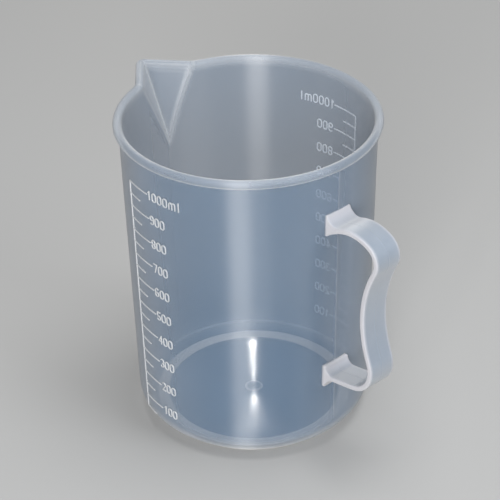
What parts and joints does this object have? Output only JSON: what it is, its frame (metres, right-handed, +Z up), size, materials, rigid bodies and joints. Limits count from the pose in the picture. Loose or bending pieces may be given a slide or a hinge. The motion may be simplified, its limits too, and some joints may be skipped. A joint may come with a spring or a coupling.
{
  "type": "graduated plastic beaker",
  "caption": "Tapered translucent beaker with a V pouring spout, a side handle and two raised volume scales.",
  "frame": {"origin": "centre of the underside, on the axis, in the plane the foot ring stands on", "axes": "+Z up along the axis, +X towards the handle, the spout at -X, +Y completes a right-handed frame"},
  "size_m": [0.1538, 0.113, 0.143],
  "materials": {
    "body": "natural translucent polypropylene, as moulded, smooth",
    "rim": "natural translucent polypropylene, thicker, as moulded, smooth",
    "handle": "natural translucent polypropylene, thicker, satin",
    "marks": "raised natural polypropylene, milky where it catches the light"
  },
  "bodies": {
    "root": {"wall": "body", "floor": "body", "foot_ring": "body", "rim": "rim", "spout": "body", "spout_lip": "rim", "handle_upper_root": "handle", "handle_grip": "handle", "handle_lower_root": "handle", "graduations_front": "marks", "graduations_back": "marks", "numerals_front": "marks", "numerals_back": "marks"}
  },
  "joints": []
}
